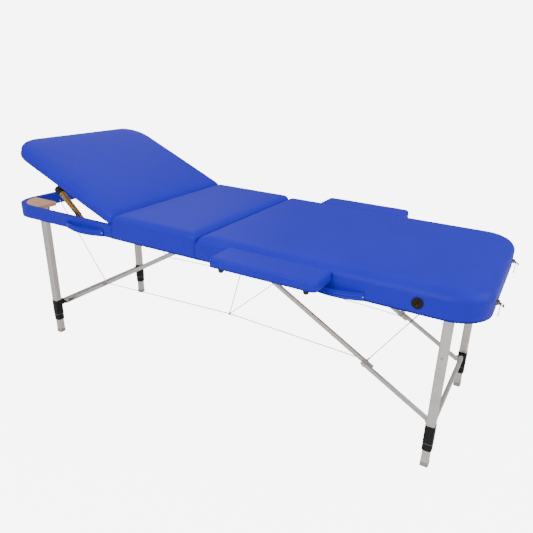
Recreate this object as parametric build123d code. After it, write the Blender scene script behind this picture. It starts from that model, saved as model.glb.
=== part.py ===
from build123d import *
from math import atan2, cos, degrees, hypot, radians, sin
import os

# Folding treatment table in three sections: a tilting backrest, a middle panel and a foot panel, on
# two hinged halves with folding telescopic legs, knee braces, wire ropes, armrests and carry straps.
#
# Millimetres. +X points to the foot end, +Z up, and the client lies along X. The origin is on the
# floor, under the middle of the whole table. Every part is drawn with the fold seam at x = 0 and is
# moved by CENTRE_SHIFT as it is written.

# ---- driving dimensions ----
LENGTH, WIDTH = 1860, 660
HALF_LENGTH, HALF_WIDTH = LENGTH / 2, WIDTH / 2
CORNER_RADIUS = 112          # plan radius of the table's four corners
RAIL_BOTTOM, RAIL_HEIGHT, RAIL_THICK = 546, 47, 20
RAIL_TOP = RAIL_BOTTOM + RAIL_HEIGHT
DECK = 4                     # plywood over the rails
PAD_TOP = 631
ROLL = 26                    # radius of the pads' rolled top edge
SEAM_GAP = 1                 # between the two halves

HINGE_Z, KNUCKLE_RADIUS, PIN_RADIUS = 541.5, 4.2, 2.5
HINGE_Y, HINGE_WIDTH, LEAF_LENGTH, LEAF = 296, 44, 36, 2

BACK_X, BACK_Z = -375, 596   # backrest hinge axis
BACK_LENGTH, BACK_WIDTH, BACK_ANGLE = 548, 654, 23
BACK_BOARD, BACK_THICK = 9, 40

LEG_X, LEG_Y, LEG_PIVOT_Z = 825, 254, 562
LEG_OUTER, LEG_WALL, LEG_CORNER, LEG_BOLT_RADIUS = 29, 1.7, 6, 4
INNER_LEG, INNER_WALL = 25.2, 1.5
INNER_TOP, FOOT_CAP = 440, 16
BUTTON_Z, HOLE_PITCH, HOLE_RADIUS, BUTTON_RADIUS = 396, 30, 4.4, 4
TEE_BOTTOM, TEE_TOP, TEE_WIDTH = 64, 155, 32
CROSSBAR_Z, CROSSBAR_HEIGHT, CROSSBAR_THICK = 138, 24, 15

BRACE_PIN_OFFSET = 17        # lower brace pivot, inboard of the crossbar's centre line
BRACE_TOP_X = 40             # upper brace pivot
BRACE_TOP_Z = LEG_PIVOT_Z + BRACE_PIN_OFFSET
BRACE_THICK, BRACE_HEIGHT, BRACE_WALL = 12, 16, 1.5
UPPER_OVERRUN, LOWER_OVERRUN = 28, 12    # how far each link runs past the knee
LOWER_BRACE_Y, UPPER_BRACE_Y = 213, 199.5
BRACE_PIN_RADIUS, FIT = 4, 0.05

STAY_Y, ROD_Y = 291, 280
STAY_FOOT_X, STAY_FOOT_Z = -556, 571
STAY_U, STAY_V = 365, -22    # upper stay pivot, along and below the backrest hinge line
CHANNEL_LENGTH, CHANNEL_HEIGHT, CHANNEL_WIDTH, CHANNEL_WALL = 165, 16, 12, 1.5
ROD_LENGTH, ROD_RADIUS = 190, 3.5
STAY_PIN_RADIUS, STAY_PIN_END = 3, 318

ARM_X0, ARM_X1, ARM_Y0, ARM_Y1, ARM_TOP = 143, 497, 334, 450, 622
ARM_CORNER, ARM_ROLL = 15, 12
ARM_BAR_X, ARM_BAR_Z, ARM_BAR_RADIUS = (182, 464), 585.5, 5
ARM_BAR_INNER, ARM_BAR_OUTER, ARM_CAP_RADIUS = 232, 436, 9

HANDLE_X0, HANDLE_X1, HANDLE_BULGE, HANDLE_THICK = 412, 596, 24, 6
HANDLE_Z0, HANDLE_Z1 = 546, 573
BOSS_X, BOSS_Z, BOSS_RADIUS = 746, 579, 16.5

LATCH_Y, LATCH_PIVOT_X, LATCH_PIVOT_Z = 190, 936.5, 573
LEVER_LENGTH, LEVER_ANGLE, LIP_LENGTH, LIP_ANGLE = 16, 25, 4, 60
CLAW_OFFSET, CLAW_LENGTH, KEEPER_REACH = 7, 36, 8

ROPE_RADIUS, ROPE_GAP = 1.25, 6      # the ropes hang this far inside the upper braces
JUNCTION_X, JUNCTION_Z = 40, 293
RISER_X, LEG_ROPE_X = 122, 805

# ---- brace geometry: straight when the leg stands, both links level when it is folded ----
upper_pin = (BRACE_TOP_X, BRACE_TOP_Z)
lower_pin = (LEG_X - BRACE_PIN_OFFSET, CROSSBAR_Z)
folded_pin_x = LEG_X - (LEG_PIVOT_Z - CROSSBAR_Z)
brace_span = hypot(lower_pin[0] - BRACE_TOP_X, BRACE_TOP_Z - lower_pin[1])
upper_length = (brace_span + folded_pin_x - BRACE_TOP_X) / 2
lower_length = brace_span - upper_length
brace_angle = degrees(atan2(BRACE_TOP_Z - lower_pin[1], lower_pin[0] - BRACE_TOP_X))
knee = (
    BRACE_TOP_X + upper_length * cos(radians(brace_angle)),
    BRACE_TOP_Z - upper_length * sin(radians(brace_angle)),
)

# ---- middle of the whole table, between the latch levers' lips and the keepers ----
lever_reach = (
    LEVER_LENGTH * cos(radians(LEVER_ANGLE)) + LIP_LENGTH * cos(radians(LIP_ANGLE)) + sin(radians(LIP_ANGLE))
)
CENTRE_SHIFT = -(LATCH_PIVOT_X + lever_reach - HALF_LENGTH - KEEPER_REACH) / 2

# ---- stay geometry ----
back = radians(BACK_ANGLE)
stay_top = (
    BACK_X - STAY_U * cos(back) + STAY_V * sin(back),
    BACK_Z + STAY_U * sin(back) + STAY_V * cos(back),
)
stay_angle = degrees(atan2(stay_top[1] - STAY_FOOT_Z, STAY_FOOT_X - stay_top[0]))
stay_length = hypot(stay_top[1] - STAY_FOOT_Z, STAY_FOOT_X - stay_top[0])

SIDES = (-1, 1)              # -1 is the front, where the carry straps are
nodes = {}


# ---- small shared shapes ----
def block(x0, x1, y0, y1, z0, z1):
    """Box between six limits."""
    return Pos((x0 + x1) / 2, (y0 + y1) / 2, (z0 + z1) / 2) * Box(abs(x1 - x0), abs(y1 - y0), abs(z1 - z0))


def rod_y(x, z, y0, y1, radius):
    """Round bar along Y."""
    return Pos(x, (y0 + y1) / 2, z) * Rot(90, 0, 0) * Cylinder(radius, abs(y1 - y0))


def both_sides(piece):
    """The front piece and its mirror image at the rear, as separate solids."""
    return [piece, mirror(piece, Plane.XZ)]


def square_tube(width, wall, corner, z0, z1, x, y):
    """Standing tube with rounded corners."""
    outside = RectangleRounded(width, width, corner)
    inside = RectangleRounded(width - 2 * wall, width - 2 * wall, corner - wall)
    return Pos(x, y, z0) * extrude(outside - inside, z1 - z0)


def other_half(pieces):
    """The foot half's pieces turned into the head half's."""
    return [mirror(piece, Plane.YZ) for piece in pieces]


def half_outline(inset):
    """Plan of one half, from the seam to its two rounded corners."""
    x1, y1, radius = HALF_LENGTH - inset, HALF_WIDTH - inset, CORNER_RADIUS - inset
    x0 = SEAM_GAP / 2
    with BuildSketch() as plan:
        with BuildLine():
            Line((x0, -y1), (x1 - radius, -y1))
            RadiusArc((x1 - radius, -y1), (x1, -y1 + radius), -radius)
            Line((x1, -y1 + radius), (x1, y1 - radius))
            RadiusArc((x1, y1 - radius), (x1 - radius, y1), -radius)
            Line((x1 - radius, y1), (x0, y1))
            Line((x0, y1), (x0, -y1))
        make_face()
    return plan.sketch


def rounded_top(pad, radius):
    """Rolls the top edges of a pad."""
    return fillet(pad.faces().sort_by(Axis.Z)[-1].edges(), radius)


# ---- wooden box frames, decks and pads ----
def rails():
    """Side rails and rounded end rail of one half, open at the seam."""
    outer = extrude(half_outline(0), RAIL_HEIGHT)
    inner = extrude(half_outline(RAIL_THICK), RAIL_HEIGHT)
    return Pos(0, 0, RAIL_BOTTOM) * (outer - inner)


def cross_rail(x0, x1, bottom=RAIL_BOTTOM):
    """Straight rail between the two side rails."""
    inner = HALF_WIDTH - RAIL_THICK
    return block(x0, x1, -inner, inner, bottom, RAIL_TOP)


def backrest_rail():
    """Thin rail under the backrest hinge. The folded legs pass below it, the upper braces through notches."""
    rail = cross_rail(BACK_X - 1, BACK_X + 17, LEG_PIVOT_Z + TEE_WIDTH / 2 + 2)
    for side in SIDES:
        notch = block(BACK_X - 2, BACK_X + 18, side * 191, side * 208, RAIL_BOTTOM, BRACE_TOP_Z + 9.5)
        rail -= notch
    return rail


def corner_block(side):
    """Plywood plate in a corner, which the leg bracket is bolted to."""
    plate = block(LEG_X - 46, HALF_LENGTH, 0, HALF_WIDTH, RAIL_TOP - 12, RAIL_TOP)
    plate = plate - block(0, HALF_LENGTH, 0, LEG_Y - 36, 0, RAIL_TOP)
    free_corner = (LEG_X - 46, LEG_Y - 36, RAIL_TOP)
    plate = fillet(plate.edges().filter_by(Axis.Z).sort_by_distance(free_corner)[0], 18)
    inside = Pos(0, 0, RAIL_TOP - 12) * extrude(half_outline(RAIL_THICK), 12)
    plate = plate & inside
    return plate if side > 0 else mirror(plate, Plane.XZ)


ring = rails()
deck = Pos(0, 0, RAIL_TOP) * extrude(half_outline(2), DECK)
arm_holes = [rod_y(x, ARM_BAR_Z, -360, 360, ARM_BAR_RADIUS + 2) for x in ARM_BAR_X]
nodes["foot_frame"] = [ring - arm_holes, cross_rail(SEAM_GAP / 2, 20), deck]
nodes["foot_frame"] += [corner_block(side) for side in SIDES]
stay_holes = [
    rod_y(-STAY_FOOT_X, STAY_FOOT_Z, side * (STAY_Y + 14), side * STAY_PIN_END, STAY_PIN_RADIUS + FIT)
    for side in SIDES
]
middle_deck = mirror(deck, Plane.YZ) & block(BACK_X + 18, 0, -HALF_WIDTH, HALF_WIDTH, RAIL_TOP, PAD_TOP)
nodes["head_frame"] = other_half([ring - stay_holes, cross_rail(SEAM_GAP / 2, 20)])
nodes["head_frame"] += [backrest_rail(), middle_deck]
nodes["head_corner_blocks"] = other_half([corner_block(side) for side in SIDES])

PAD_BOTTOM = RAIL_TOP + DECK
foot_pad = Pos(0, 0, PAD_BOTTOM) * extrude(half_outline(0), PAD_TOP - PAD_BOTTOM)
nodes["foot_pad"] = [rounded_top(foot_pad, ROLL)]
middle_pad = block(BACK_X + 5, -SEAM_GAP / 2, -HALF_WIDTH, HALF_WIDTH, PAD_BOTTOM, PAD_TOP)
nodes["middle_pad"] = [rounded_top(middle_pad, ROLL)]


# ---- seam hinges ----
def hinge_leaf(knuckles):
    """Steel leaf under a rail with its knuckles round the pin."""
    y0 = HINGE_Y - HINGE_WIDTH / 2
    leaf = block(3, LEAF_LENGTH, y0, y0 + HINGE_WIDTH, RAIL_BOTTOM - LEAF, RAIL_BOTTOM)
    step = HINGE_WIDTH / 5
    for k in knuckles:
        a, b = y0 + k * step + 0.3, y0 + (k + 1) * step - 0.3
        leaf += rod_y(0, HINGE_Z, a, b, KNUCKLE_RADIUS)
        leaf += block(0, 5, a, b, RAIL_BOTTOM - LEAF, HINGE_Z + KNUCKLE_RADIUS)
    for k in set(range(5)) - set(knuckles):
        a, b = y0 + k * step - 0.3, y0 + (k + 1) * step + 0.3
        leaf -= block(-6, 6, a, b, HINGE_Z - 6, RAIL_BOTTOM + 1)
    return leaf - rod_y(0, HINGE_Z, 200, 400, PIN_RADIUS + FIT)


nodes["hinge_leaves_foot"] = both_sides(hinge_leaf((0, 2, 4)))
nodes["hinge_leaves_head"] = other_half(both_sides(hinge_leaf((1, 3))))
pin = rod_y(0, HINGE_Z, HINGE_Y - HINGE_WIDTH / 2 - 1, HINGE_Y + HINGE_WIDTH / 2 + 1, PIN_RADIUS)
nodes["hinge_pins"] = both_sides(pin)


# ---- legs ----
def leg_tube():
    x, y = LEG_X, -LEG_Y
    tube = square_tube(LEG_OUTER, LEG_WALL, LEG_CORNER, TEE_BOTTOM + 6, LEG_PIVOT_Z + 10, x, y)
    for k in range(-1, 7):
        tube -= rod_y(x, BUTTON_Z - k * HOLE_PITCH, y - 20, y, HOLE_RADIUS)
    return tube - rod_y(x, LEG_PIVOT_Z, y - 20, y + 20, LEG_BOLT_RADIUS + FIT)


def crossbar():
    """Flat oval tube between the two tees, with a lug at each end for the brace."""
    reach = LEG_Y - TEE_WIDTH / 2 - 6
    section = Rot(90, 0, 0) * SlotOverall(CROSSBAR_HEIGHT, CROSSBAR_THICK, rotation=90)
    hole = Rot(90, 0, 0) * SlotOverall(CROSSBAR_HEIGHT - 3, CROSSBAR_THICK - 3, rotation=90)
    tube = Pos(LEG_X, reach, CROSSBAR_Z) * extrude(section - hole, 2 * reach, dir=(0, -1, 0))
    for side in SIDES:
        face = side * (LOWER_BRACE_Y + BRACE_THICK / 2 + 1)
        pin_end = side * (LOWER_BRACE_Y - BRACE_THICK / 2)
        lug = block(lower_pin[0], LEG_X - 5, face, face + 5 * side, CROSSBAR_Z - 8, CROSSBAR_Z + 8)
        lug += rod_y(*lower_pin, face, face + 5 * side, 8)
        tube += lug + rod_y(*lower_pin, face + side, pin_end, BRACE_PIN_RADIUS)
    return tube


def tee():
    """Black moulding over the leg's lower end: sleeve, crossbar socket and end collar."""
    x, y = LEG_X, -LEG_Y
    sleeve = RectangleRounded(TEE_WIDTH, TEE_WIDTH, 7)
    groove = RectangleRounded(TEE_WIDTH - 2, TEE_WIDTH - 2, 7)
    body = Pos(x, y, TEE_BOTTOM + 25) * extrude(sleeve, TEE_TOP - TEE_BOTTOM - 25)
    body += Pos(x, y, TEE_BOTTOM) * extrude(RectangleRounded(TEE_WIDTH, TEE_WIDTH, 9), 24)
    body += Pos(x, y, TEE_BOTTOM + 24) * extrude(groove, 1)
    socket = SlotOverall(CROSSBAR_HEIGHT + 5, CROSSBAR_THICK + 5, rotation=90)
    inner_end = LEG_Y - TEE_WIDTH / 2 - 13
    body += Pos(x, -inner_end, CROSSBAR_Z) * Rot(90, 0, 0) * extrude(socket, 14)
    leg_seat = RectangleRounded(LEG_OUTER + 0.1, LEG_OUTER + 0.1, LEG_CORNER)
    body -= Pos(x, y, TEE_BOTTOM + 6) * extrude(leg_seat, 200)
    bore = LEG_OUTER - 2 * LEG_WALL
    body -= Pos(x, y, 0) * extrude(RectangleRounded(bore, bore, LEG_CORNER - LEG_WALL), 200)
    seat = SlotOverall(CROSSBAR_HEIGHT + 0.1, CROSSBAR_THICK + 0.1, rotation=90)
    body -= Pos(x, -inner_end + 7, CROSSBAR_Z) * Rot(90, 0, 0) * extrude(seat, 14)
    return body


def leg_bracket():
    """Folded steel stirrup under the corner plate, with the leg's pivot bolt."""
    gap, sheet, reach = LEG_OUTER / 2 + 1, 2.5, 15
    x, y = LEG_X, -LEG_Y
    top = RAIL_TOP - 12
    stirrup = block(x - reach, x + reach, y - gap - sheet, y + gap + sheet, top - 1, top)
    for side in SIDES:
        a, b = y + side * gap, y + side * (gap + sheet)
        stirrup += block(x - reach, x + reach, a, b, LEG_PIVOT_Z, top)
        stirrup += rod_y(x, LEG_PIVOT_Z, a, b, 11)
        stirrup += rod_y(x, LEG_PIVOT_Z, b, b + 3 * side, 6)
    return stirrup + rod_y(x, LEG_PIVOT_Z, y - gap - 1, y + gap + 1, LEG_BOLT_RADIUS)


legs = both_sides(leg_tube()) + [crossbar()]
nodes["foot_leg_tubes"], nodes["head_leg_tubes"] = legs, other_half(legs)
nodes["foot_tees"] = both_sides(tee())
nodes["head_tees"] = other_half(nodes["foot_tees"])
nodes["foot_leg_brackets"] = both_sides(leg_bracket())
nodes["head_leg_brackets"] = other_half(nodes["foot_leg_brackets"])


def inner_leg():
    tube = square_tube(INNER_LEG, INNER_WALL, 4.2, FOOT_CAP, INNER_TOP, LEG_X, -LEG_Y)
    return tube - rod_y(LEG_X, BUTTON_Z, -LEG_Y - 20, -LEG_Y, HOLE_RADIUS)


def foot_cap():
    cap = Pos(LEG_X, -LEG_Y, 0) * extrude(RectangleRounded(27, 27, 5), FOOT_CAP)
    return fillet(cap.faces().sort_by(Axis.Z)[0].edges(), 2)


def leg_button():
    face = -LEG_Y - LEG_OUTER / 2
    head = rod_y(LEG_X, BUTTON_Z, face - 2.5, face + 6, BUTTON_RADIUS)
    head = fillet(head.edges().sort_by(Axis.Y)[0], 1.5)
    return head + rod_y(LEG_X, BUTTON_Z, face + 4, face + 5.5, BUTTON_RADIUS + 1.6)


for end, turn in (("foot", False), ("head", True)):
    for place, flip in (("front", False), ("rear", True)):
        for name, make in (("inner_leg", inner_leg), ("foot_cap", foot_cap), ("leg_button", leg_button)):
            piece = make()
            piece = mirror(piece, Plane.XZ) if flip else piece
            piece = mirror(piece, Plane.YZ) if turn else piece
            nodes[f"{name}_{end}_{place}"] = [piece]


# ---- knee braces ----
def link(start, length, angle, y, before, beyond):
    """Straight tube from a pivot, angle degrees above +X, with rounded corners."""
    section = Plane.YZ * RectangleRounded(BRACE_THICK, BRACE_HEIGHT, 4)
    hollow = Plane.YZ * RectangleRounded(BRACE_THICK - 2 * BRACE_WALL, BRACE_HEIGHT - 2 * BRACE_WALL, 2.5)
    tube = extrude(section - hollow, length + before + beyond, dir=(1, 0, 0))
    plugs = extrude(hollow, 3, dir=(1, 0, 0))
    tube += plugs + Pos(length + before + beyond - 3, 0, 0) * plugs
    return Pos(start[0], y, start[1]) * Rot(0, -angle, 0) * Pos(-before, 0, 0) * tube


def upper_link():
    """Long link from the clevis on the seam rail to the knee, with its half of the knee rivet."""
    tube = link(upper_pin, upper_length, -brace_angle, -UPPER_BRACE_Y, 7, UPPER_OVERRUN)
    y_outer, y_inner = -UPPER_BRACE_Y - BRACE_THICK / 2, -UPPER_BRACE_Y + BRACE_THICK / 2
    tube += rod_y(*knee, y_outer - 0.4, y_inner + 1, 3) + rod_y(*knee, y_inner, y_inner + 4, 6)
    tube += rod_y(*upper_pin, y_outer, y_inner, 7)
    return tube - rod_y(*upper_pin, y_outer - 1, y_inner + 1, BRACE_PIN_RADIUS + FIT)


def lower_link():
    """Short link from the crossbar to the knee. Its square end stays clear of the crossbar."""
    tube = link(lower_pin, lower_length, 180 - brace_angle, -LOWER_BRACE_Y, 3, LOWER_OVERRUN)
    y_outer, y_inner = -LOWER_BRACE_Y - BRACE_THICK / 2, -LOWER_BRACE_Y + BRACE_THICK / 2
    tube += rod_y(*knee, y_outer - 4, y_outer, 6) + rod_y(*knee, y_outer, y_inner + 0.4, 3)
    tube += rod_y(*lower_pin, y_outer, y_inner, 7)
    return tube - rod_y(*lower_pin, y_outer - 2, y_inner + 2, BRACE_PIN_RADIUS + FIT)


def brace_clevis():
    """Folded steel clevis on the seam rail for the upper brace."""
    gap, sheet = BRACE_THICK / 2 + 0.6, 2.5
    y = -UPPER_BRACE_Y
    clevis = block(20, 22.5, y - gap - sheet, y + gap + sheet, BRACE_TOP_Z - 18, BRACE_TOP_Z + 9)
    for side in SIDES:
        a, b = y + side * gap, y + side * (gap + sheet)
        clevis += block(20, BRACE_TOP_X, a, b, BRACE_TOP_Z - 9, BRACE_TOP_Z + 9)
        clevis += rod_y(*upper_pin, a, b, 9) + rod_y(*upper_pin, b, b + 2 * side, 6)
    return clevis + rod_y(*upper_pin, y - gap - 1, y + gap + 1, BRACE_PIN_RADIUS)


nodes["foot_upper_braces"] = both_sides(upper_link())
nodes["foot_lower_braces"] = both_sides(lower_link())
nodes["foot_brace_clevises"] = both_sides(brace_clevis())
for name in ("upper_braces", "lower_braces", "brace_clevises"):
    nodes["head_" + name] = other_half(nodes["foot_" + name])


# ---- wire ropes: straight runs between knees, junctions and anchors ----
def rope(start, end):
    a, b = Vector(*start), Vector(*end)
    return Plane(origin=a, z_dir=b - a) * extrude(Circle(ROPE_RADIUS), (b - a).length)


def toward(start, end, distance):
    a, b = Vector(*start), Vector(*end)
    return tuple(a + (b - a).normalized() * distance)


rope_y = BRACE_THICK / 2 + ROPE_GAP - UPPER_BRACE_Y
rope_top = RAIL_TOP - 2
foot_knee, head_knee = (knee[0], rope_y, knee[1]), (-knee[0], rope_y, knee[1])
junction = (JUNCTION_X, rope_y, JUNCTION_Z)
riser_end = (RISER_X, rope_y, rope_top)
seam_share = JUNCTION_X / (JUNCTION_X + knee[0])
seam_point = (0, rope_y, JUNCTION_Z + (knee[1] - JUNCTION_Z) * seam_share)

foot_runs = [Pos(*junction) * Sphere(4), rope(seam_point, toward(junction, head_knee, 5))]
foot_runs.append(rope(toward(junction, foot_knee, 5), toward(foot_knee, junction, 5)))
foot_runs.append(rope(toward(junction, riser_end, 5), riser_end))
head_runs = [rope(toward(head_knee, junction, 5), seam_point)]
for runs, knee_end, side in ((foot_runs, foot_knee, 1), (head_runs, head_knee, -1)):
    leg_end = (side * LEG_ROPE_X, rope_y, rope_top)
    runs.append(rope(toward(knee_end, leg_end, 5), leg_end))
cross = rope((JUNCTION_X, rope_y + 5, JUNCTION_Z), (JUNCTION_X, -rope_y - 5, JUNCTION_Z))
nodes["foot_ropes"] = [cross] + [run for piece in foot_runs for run in both_sides(piece)]
nodes["head_ropes"] = [run for piece in head_runs for run in both_sides(piece)]


# ---- backrest and its two stays ----
def tilted(piece):
    """Moves a piece from the backrest's own frame, lying flat with its hinge at 0, to its tilt."""
    return Pos(BACK_X, 0, BACK_Z) * Rot(0, BACK_ANGLE, 0) * piece


def back_plan(start, inset):
    """Plan of the backrest, from start to its far end with two rounded corners."""
    y1, x1 = BACK_WIDTH / 2 - inset, -BACK_LENGTH + inset
    radius = CORNER_RADIUS - 4 - inset
    with BuildSketch() as plan:
        with BuildLine():
            Line((-start, -y1), (x1 + radius, -y1))
            RadiusArc((x1 + radius, -y1), (x1, -y1 + radius), radius)
            Line((x1, -y1 + radius), (x1, y1 - radius))
            RadiusArc((x1, y1 - radius), (x1 + radius, y1), radius)
            Line((x1 + radius, y1), (-start, y1))
            Line((-start, y1), (-start, -y1))
        make_face()
    return plan.sketch


back_pad = Pos(0, 0, BACK_BOARD - 1) * extrude(back_plan(31, 0), BACK_THICK - BACK_BOARD + 1)
nodes["backrest_pad"] = [tilted(rounded_top(back_pad, ROLL))]
nodes["backrest_board"] = [tilted(Pos(0, 0, -1) * extrude(back_plan(18, 3), BACK_BOARD))]

BACK_HINGE_Y, BACK_HINGE_WIDTH = 230, 60


def back_leaf(fixed):
    """One leaf of the backrest hinge. The fixed leaf lies on the cross rail, the other under the board."""
    y0 = BACK_HINGE_Y - BACK_HINGE_WIDTH / 2
    step = BACK_HINGE_WIDTH / 3
    own = (0, 2) if fixed else (1,)
    if fixed:
        leaf = block(0, 16, y0, y0 + BACK_HINGE_WIDTH, RAIL_TOP - BACK_Z, RAIL_TOP - BACK_Z + 1.5)
    else:
        leaf = block(-42, 0, y0, y0 + BACK_HINGE_WIDTH, -2.5, -1)
    for k in range(3):
        a, b = y0 + k * step, y0 + (k + 1) * step
        if k in own:
            leaf += rod_y(0, 0, a + 0.3, b - 0.3, 3)
        else:
            leaf -= block(-5, 5, a - 0.3, b + 0.3, -6, 5)
    return leaf - rod_y(0, 0, 0, 400, 1.5 + FIT)


fixed_leaf = Pos(BACK_X, 0, BACK_Z) * back_leaf(True)
nodes["backrest_leaves_fixed"] = both_sides(fixed_leaf)
nodes["backrest_leaves_moving"] = both_sides(tilted(back_leaf(False)))
back_pin_end = BACK_HINGE_Y + BACK_HINGE_WIDTH / 2 + 1
nodes["backrest_hinge_pins"] = both_sides(
    rod_y(BACK_X, BACK_Z, back_pin_end - BACK_HINGE_WIDTH - 2, back_pin_end, 1.5)
)


def along_stay(piece):
    """Turns a piece drawn along +X from the stay's foot to the stay's slope."""
    return Pos(STAY_FOOT_X, 0, STAY_FOOT_Z) * Rot(0, stay_angle - 180, 0) * piece


def stay_channel():
    """Pressed steel channel, open towards the middle, with a row of holes in its web."""
    y, half, wide = -STAY_Y, CHANNEL_HEIGHT / 2, CHANNEL_WIDTH / 2
    channel = block(0, CHANNEL_LENGTH, y - wide, y + wide, -half, half)
    channel += rod_y(0, 0, y - wide, y + wide, half)
    y_web, z_lip = y - wide + CHANNEL_WALL, half - CHANNEL_WALL
    channel -= block(-9, CHANNEL_LENGTH + 1, y_web, y + wide + 1, -z_lip, z_lip)
    for k in range(10):
        channel -= rod_y(16 + 14 * k, 0, y - wide - 1, y, 3.2)
    return along_stay(channel - rod_y(0, 0, y - wide - 1, y, STAY_PIN_RADIUS + FIT))


def stay_pivot():
    """Pin from the side rail through the channel's web, with a washer and a head."""
    y_web = -STAY_Y - CHANNEL_WIDTH / 2
    pivot = rod_y(0, 0, 1 - STAY_PIN_END, y_web + 4, STAY_PIN_RADIUS)
    pivot += rod_y(0, 0, y_web - 3, y_web - 0.5, 5)
    return along_stay(pivot + rod_y(0, 0, y_web + CHANNEL_WALL + 0.4, y_web + 4, 5))


def stay_slider():
    """Black catch that rides on the channel's upper end and holds the rod."""
    y0, y1 = -STAY_Y - 9, -ROD_Y + 7
    body = block(CHANNEL_LENGTH - 26, CHANNEL_LENGTH, y0, y1, -12, 12)
    body = chamfer(body.edges().filter_by(Axis.Y), 3)
    cavity_half, cavity_wide = CHANNEL_HEIGHT / 2 + 0.2, CHANNEL_WIDTH / 2 + 0.2
    body -= block(0, 200, -STAY_Y - cavity_wide, -STAY_Y + cavity_wide, -cavity_half, cavity_half)
    return along_stay(body - Pos(150, -ROD_Y, 0) * Rot(0, 90, 0) * Cylinder(ROD_RADIUS + 0.1, 100))


def stay_rod():
    """Round rod from inside the channel up to the eye on the backrest's bracket."""
    shaft = Pos(stay_length - ROD_LENGTH / 2, -ROD_Y, 0) * Rot(0, 90, 0) * Cylinder(ROD_RADIUS, ROD_LENGTH)
    eye = rod_y(stay_length, 0, -ROD_Y - 3.5, -ROD_Y + 3.5, 8)
    eye += rod_y(stay_length, 0, -ROD_Y - 6, -ROD_Y - 3, 5)
    return along_stay(shaft + eye)


def stay_bracket():
    """Black bracket under the backrest board with the cheek that the rod's eye hangs on."""
    plate = block(-STAY_U - 30, -STAY_U + 24, -STAY_Y, -ROD_Y + 16, -7, -1)
    cheek = block(-STAY_U - 12, -STAY_U + 12, -ROD_Y + 4, -ROD_Y + 8, STAY_V, -3)
    cheek += block(-STAY_U - 26, -STAY_U - 12, -ROD_Y + 4, -ROD_Y + 8, -14, -3)
    return tilted(plate + cheek + rod_y(-STAY_U, STAY_V, -ROD_Y + 4, -ROD_Y + 8, 12))


nodes["stay_channels"] = both_sides(stay_channel())
nodes["stay_pivots"] = both_sides(stay_pivot())
nodes["stay_sliders"] = both_sides(stay_slider())
nodes["stay_rods"] = both_sides(stay_rod())
nodes["stay_brackets"] = both_sides(stay_bracket())


# ---- armrests on sliding bars ----
def arm_pad():
    """Armrest cushion with rounded corners and edges."""
    plan = RectangleRounded(ARM_X1 - ARM_X0, ARM_Y1 - ARM_Y0, ARM_CORNER)
    plan = Pos((ARM_X0 + ARM_X1) / 2, -(ARM_Y0 + ARM_Y1) / 2, RAIL_TOP) * plan
    return rounded_top(extrude(plan, ARM_TOP - RAIL_TOP), ARM_ROLL)


def arm_bars():
    """Two steel bars with saddle plates under the armrest and black end balls."""
    pieces = []
    for x in ARM_BAR_X:
        bar = rod_y(x, ARM_BAR_Z, -ARM_BAR_INNER, -ARM_BAR_OUTER, ARM_BAR_RADIUS)
        pieces.append(bar + block(x - 14, x + 14, -ARM_BAR_OUTER + 8, -ARM_Y0 - 12, ARM_BAR_Z, RAIL_TOP))
        ball = Pos(x, -ARM_BAR_OUTER - 3, ARM_BAR_Z - 1.5) * Sphere(ARM_CAP_RADIUS)
        pieces.append(ball - pieces[-1])
    return pieces


nodes["armrest_front_pad"] = [arm_pad()]
nodes["armrest_front_bars"] = arm_bars()
for name in ("pad", "bars"):
    nodes[f"armrest_rear_{name}"] = [mirror(piece, Plane.XZ) for piece in nodes[f"armrest_front_{name}"]]
bushing = rod_y(0, 0, -RAIL_THICK / 2 - 2, RAIL_THICK / 2, ARM_BAR_RADIUS + 2)
bushing += rod_y(0, 0, -RAIL_THICK / 2 - 2, -RAIL_THICK / 2, ARM_BAR_RADIUS + 4)
bushing -= rod_y(0, 0, -20, 20, ARM_BAR_RADIUS + FIT)
nodes["armrest_bushings"] = []
for x in ARM_BAR_X:
    nodes["armrest_bushings"] += both_sides(Pos(x, -HALF_WIDTH + RAIL_THICK / 2, ARM_BAR_Z) * bushing)


# ---- carry straps, screws and the round boss on the front rail ----
def carry_strap():
    """Sewn loop of vinyl, bulging out between its two screws."""
    x0, x1, middle = HANDLE_X0, HANDLE_X1, (HANDLE_X0 + HANDLE_X1) / 2
    y_end, y_back = -HALF_WIDTH - 1, -HALF_WIDTH - 0.3
    y_out = -HALF_WIDTH - HANDLE_BULGE
    with BuildSketch() as plan:
        with BuildLine():
            ThreePointArc((x0, y_end), (middle, y_out), (x1, y_end))
            Line((x1, y_end), (x1, y_back))
            Line((x1, y_back), (x1 - 22, y_back))
            ThreePointArc((x1 - 22, y_back), (middle, y_out + HANDLE_THICK), (x0 + 22, y_back))
            Line((x0 + 22, y_back), (x0, y_back))
            Line((x0, y_back), (x0, y_end))
        make_face()
    return Pos(0, 0, HANDLE_Z0) * extrude(plan.sketch, HANDLE_Z1 - HANDLE_Z0)


def strap_screws():
    """Domed screws through the strap's two ends."""
    screws = []
    for x in (HANDLE_X0 + 5, HANDLE_X1 - 5):
        dome = Pos(x, -HALF_WIDTH - 2, (HANDLE_Z0 + HANDLE_Z1) / 2) * Rot(90, 0, 0) * Cone(5, 2.5, 3)
        screws.append(Pos(0, -3, 0) * dome)
    return screws


strap = carry_strap()
nodes["foot_handle"], nodes["head_handle"] = [strap], other_half([strap])
screws = strap_screws()
strap_part = [screw - strap for screw in screws]
nodes["foot_handle_screws"], nodes["head_handle_screws"] = strap_part, other_half(strap_part)

boss = Cylinder(BOSS_RADIUS, 4) - Pos(0, 0, 2) * Cone(7, 12, 3)
boss += Pos(0, 0, 0.5) * Sphere(3) - Pos(0, 0, -6) * Cylinder(5, 8)
nodes["side_boss"] = [Pos(BOSS_X, -HALF_WIDTH - 2, BOSS_Z) * Rot(90, 0, 0) * boss]


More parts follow.
